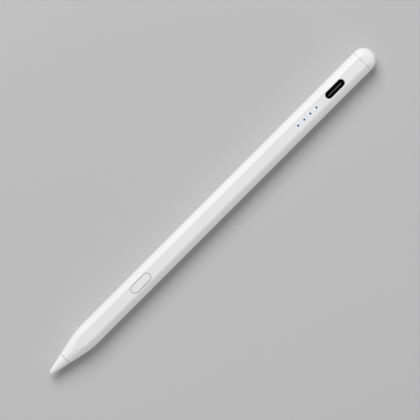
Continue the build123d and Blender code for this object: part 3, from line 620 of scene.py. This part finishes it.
# Snap dome: a shallow cap with four trimmed sides, built in its resting shape (the real dome flattens under the
# plunger)
domeLook = {"sheet": 0.00006, "steps": 7, "around": 40, "trim": 0.78, "keep": 0.3, "level": 0.5}
domeLow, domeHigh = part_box("switch_dome")
domeX = (domeLow.x + domeHigh.x) / 2
domeHalf = (domeHigh.x - domeLow.x) / 2
domeRise = domeHigh.z - domeLow.z - domeLook["sheet"]
domeBall = (domeHalf**2 + domeRise**2) / (2 * domeRise)
domeLine = {"cent": (domeX, 0.0, 0.0), "axis": (0.0, 0.0, 1.0)}
domeShape = bmesh.new()
crown = domeShape.verts.new((domeX, 0.0, domeLow.z + domeRise))
bmesh.ops.spin(
    domeShape, geom=[crown], cent=(domeX, 0.0, domeLow.z + domeRise - domeBall), axis=(0.0, 1.0, 0.0),
    angle=math.asin(domeHalf / domeBall), steps=domeLook["steps"],
)
fullTurn(domeShape, everything(domeShape), domeLook["around"], domeLine)
for way in ((1, 0, 0), (-1, 0, 0), (0, 1, 0), (0, -1, 0)):
    cut = Vector((domeX, 0.0, 0.0)) + Vector(way) * domeHalf * domeLook["trim"]
    bmesh.ops.bisect_plane(
        domeShape, geom=everything(domeShape), plane_co=cut, plane_no=way, clear_outer=True,
    )
bmesh.ops.recalc_face_normals(domeShape, faces=domeShape.faces)
bmesh.ops.solidify(domeShape, geom=domeShape.faces[:], thickness=-domeLook["sheet"])
for face in domeShape.faces:
    face.smooth = abs(face.normal.z) > domeLook["level"]  # the sheet's cut edges stay flat
dome = finishPiece("snap_dome", domeShape, [stampedMetal], node="switch_dome")
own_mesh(dome)
print("cap, rod, spring and dome made")

# Small capacitors and resistors between the larger parts of both boards
chipPartLook = {
    "size": (0.001, 0.0005, 0.00045), "end": 0.00025, "round": 0.00004, "segments": 2, "corner": 1.0,
    "across": 0.0013, "stagger": 0.0004, "past": 0.003, "beside": 0.0014,
    "light": (0.42, 0.27, 0.15), "dark": (0.34, 0.21, 0.12), "rough": (0.4, 0.55),
    "patch": 900.0, "grain": 9000.0, "depth": 4e-6,
}
solderLook = {
    "light": (0.74, 0.74, 0.73), "dark": (0.62, 0.62, 0.61), "rough": (0.22, 0.4), "metal": 1.0,
    "patch": 1800.0, "grain": 9000.0, "depth": 5e-6,
}
ceramic = surface("capacitor_ceramic", chipPartLook)
solder = surface("solder_tin", solderLook)


def smallPart(place, turned):
    size = Vector(chipPartLook["size"])
    tinned = size.x / 2 - chipPartLook["end"]  # where the tinned ends start
    part = bmesh.new()
    bmesh.ops.create_cube(part, size=1.0, matrix=Matrix.Diagonal((*size, 1.0)))
    for side in (-1, 1):
        cut = (side * tinned, 0.0, 0.0)
        bmesh.ops.bisect_plane(part, geom=everything(part), plane_co=cut, plane_no=(1.0, 0.0, 0.0))
    for face in part.faces:
        face.material_index = int(abs(face.calc_center_median().x) > tinned)
    corners = [edge for edge in part.edges if edge.calc_face_angle(0.0) > chipPartLook["corner"]]
    bmesh.ops.bevel(
        part, geom=corners, offset=chipPartLook["round"], segments=chipPartLook["segments"],
        profile=0.5, affect="EDGES", material=-1,
    )
    turn = Matrix.Rotation(math.pi / 2 if turned else 0.0, 4, "Z")
    seat = Matrix.Translation((*place, boardTop + size.z / 2))
    bmesh.ops.transform(part, matrix=seat @ turn, verts=part.verts)
    return part


def partsBetween(start, end, rows):  # a staggered row across the board, in the middle of a gap along the pen
    middle = (start + end) / 2
    places = []
    for row in range(rows):
        x = middle + chipPartLook["stagger"] * (-1) ** row
        places.append(((x, (row - (rows - 1) / 2) * chipPartLook["across"]), row % 2 == 0))
    return places


def smallParts(name, places):
    shape = bmesh.new()
    for place, turned in places:
        part = smallPart(place, turned)
        mesh = bpy.data.meshes.new("small_part")
        part.to_mesh(mesh)
        part.free()
        shape.from_mesh(mesh)
        bpy.data.meshes.remove(mesh)
    finishPiece(name, shape, [ceramic, solder])


chipHigh, switchBox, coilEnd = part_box("controller_chip")[1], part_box("switch_base"), coilHigh.x
frontPlaces = partsBetween(chipHigh.x, switchBox[0].x, rows=4)
frontPlaces += partsBetween(switchBox[1].x, coilLow.x, rows=4)
frontPlaces += partsBetween(coilEnd, coilEnd + chipPartLook["past"], rows=3)
smallParts("front_parts", frontPlaces)
rearPlaces = partsBetween(ledHigh.x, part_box("usb_shell")[0].x, rows=4)
rearPlaces += [((place.x, -chipPartLook["beside"]), False) for place in lampPlaces]  # one beside each lamp
smallParts("rear_parts", rearPlaces)

# Bent legs of the charger chip, three along each side
legLook = {
    "count": 3, "pitch": 0.00095, "width": 0.00038, "sheet": 0.00012,
    "reach": 0.0004, "shoulder": 0.00012, "foot": 0.00025, "height": 0.55,
}
chargeLow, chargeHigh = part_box("charge_chip")
chargeX = (chargeLow.x + chargeHigh.x) / 2
legTop = boardTop + legLook["height"] * (chargeHigh.z - boardTop)
legDrop = boardTop + legLook["sheet"] - legTop
legSlope = (legLook["reach"] - legLook["shoulder"]) / 2
bends = [(legLook["shoulder"], 0.0), (legSlope, legDrop), (legLook["foot"], 0.0)]  # outwards and down
legShape = bmesh.new()
for side, edgeY in ((1, chargeHigh.y), (-1, chargeLow.y)):
    for leg in range(legLook["count"]):
        middle = chargeX + (leg - (legLook["count"] - 1) / 2) * legLook["pitch"]
        ends = [legShape.verts.new((middle + half * legLook["width"] / 2, edgeY, legTop)) for half in (-1, 1)]
        strip = legShape.edges.new(ends)
        for out, down in bends:
            grown = bmesh.ops.extrude_edge_only(legShape, edges=[strip])["geom"]
            moved = picked(grown, bmesh.types.BMVert)
            bmesh.ops.translate(legShape, vec=(0.0, side * out, down), verts=moved)
            strip = picked(grown, bmesh.types.BMEdge)[0]
bmesh.ops.recalc_face_normals(legShape, faces=legShape.faces)
for face in legShape.faces:
    if face.normal.z < 0:
        face.normal_flip()
bmesh.ops.solidify(legShape, geom=legShape.faces[:], thickness=legLook["sheet"])
finishPiece("charger_legs", legShape, [solder])
print("small parts and legs made")

# Floor, a hair under the pen's flat
floorLook = {"half": 1.5, "below": 2e-5, "albedo": (0.557, 0.557, 0.557), "rough": 0.9, "gloss": 0.0}
floorShape = bmesh.new()
floorPlace = Matrix.Translation((0.0, 0.0, -floorLook["below"]))
bmesh.ops.create_grid(floorShape, x_segments=1, y_segments=1, size=floorLook["half"], matrix=floorPlace)
floorMesh = bpy.data.meshes.new("floor")
floorShape.to_mesh(floorMesh)
floorShape.free()
floor = addObject("floor", floorMesh)
floorMaterial, floorShader = startMaterial("floor")
floorShader.inputs["Base Color"].default_value = (*floorLook["albedo"], 1.0)
floorShader.inputs["Roughness"].default_value = floorLook["rough"]
floorShader.inputs["Specular IOR Level"].default_value = floorLook["gloss"]
floorMesh.materials.append(floorMaterial)

# Camera straight above, turned so that the pen runs up the diagonal
cameraLook = {
    "distance": 0.9, "lens": 211.3, "sensor": 36.0, "lean": math.radians(1.5),
    "target": (0.00026, 0.0009, 0.004),
}
cameraData = bpy.data.cameras.new("camera")
cameraData.lens = cameraLook["lens"]
cameraData.sensor_width = cameraLook["sensor"]
camera = addObject("camera", cameraData)
back = Vector((0.0, math.sin(cameraLook["lean"]), math.cos(cameraLook["lean"])))
penWay = Vector((1.0, 0.0, 0.0))
sideWay = back.cross(penWay)
right = (penWay - sideWay).normalized()
up = (penWay + sideWay).normalized()
turn = Matrix((right, up, back)).transposed().to_4x4()
camera.matrix_world = Matrix.Translation(Vector(cameraLook["target"]) + back * cameraLook["distance"]) @ turn
bpy.context.scene.camera = camera

# A large soft lamp over the pen's far left, low strips beside it and past the nib, and a pale even room
lampLook = {
    "key_lamp": {"way": 25.0, "tilt": 40.0, "shape": "DISK", "size": (1.506, 1.506), "power": 36.5},
    "side_strip": {"way": 150.0, "tilt": 86.0, "shape": "RECTANGLE", "size": (2.0, 0.12), "power": 13.5},
    "nib_strip": {"way": -90.0, "tilt": 84.0, "shape": "RECTANGLE", "size": (2.0, 0.2), "power": 15.9},
}
roomLook = {"distance": 2.0, "tint": (1.0, 1.0, 1.0), "strength": 0.229}
for name, look in lampLook.items():
    lampData = bpy.data.lights.new(name, "AREA")
    lampData.shape = look["shape"]
    lampData.size, lampData.size_y = look["size"]
    lampData.energy = look["power"]
    lamp = addObject(name, lampData)
    way, tilt = math.radians(look["way"]), math.radians(look["tilt"])  # way is turned from +Y towards +X
    away = Vector((math.sin(tilt) * math.sin(way), math.sin(tilt) * math.cos(way), math.cos(tilt)))
    level = Vector((0.0, 0.0, 1.0)).cross(away).normalized()
    facing = Matrix((level, away.cross(level), away)).transposed().to_4x4()
    lamp.matrix_world = Matrix.Translation(away * roomLook["distance"]) @ facing

world = bpy.data.worlds.new("room")
world.use_nodes = True
roomLight = world.node_tree.nodes["Background"]
roomLight.inputs["Color"].default_value = (*roomLook["tint"], 1.0)
roomLight.inputs["Strength"].default_value = roomLook["strength"]
bpy.context.scene.world = world
bpy.context.scene.view_settings.view_transform = "Standard"
print("stage, camera and lamps set")
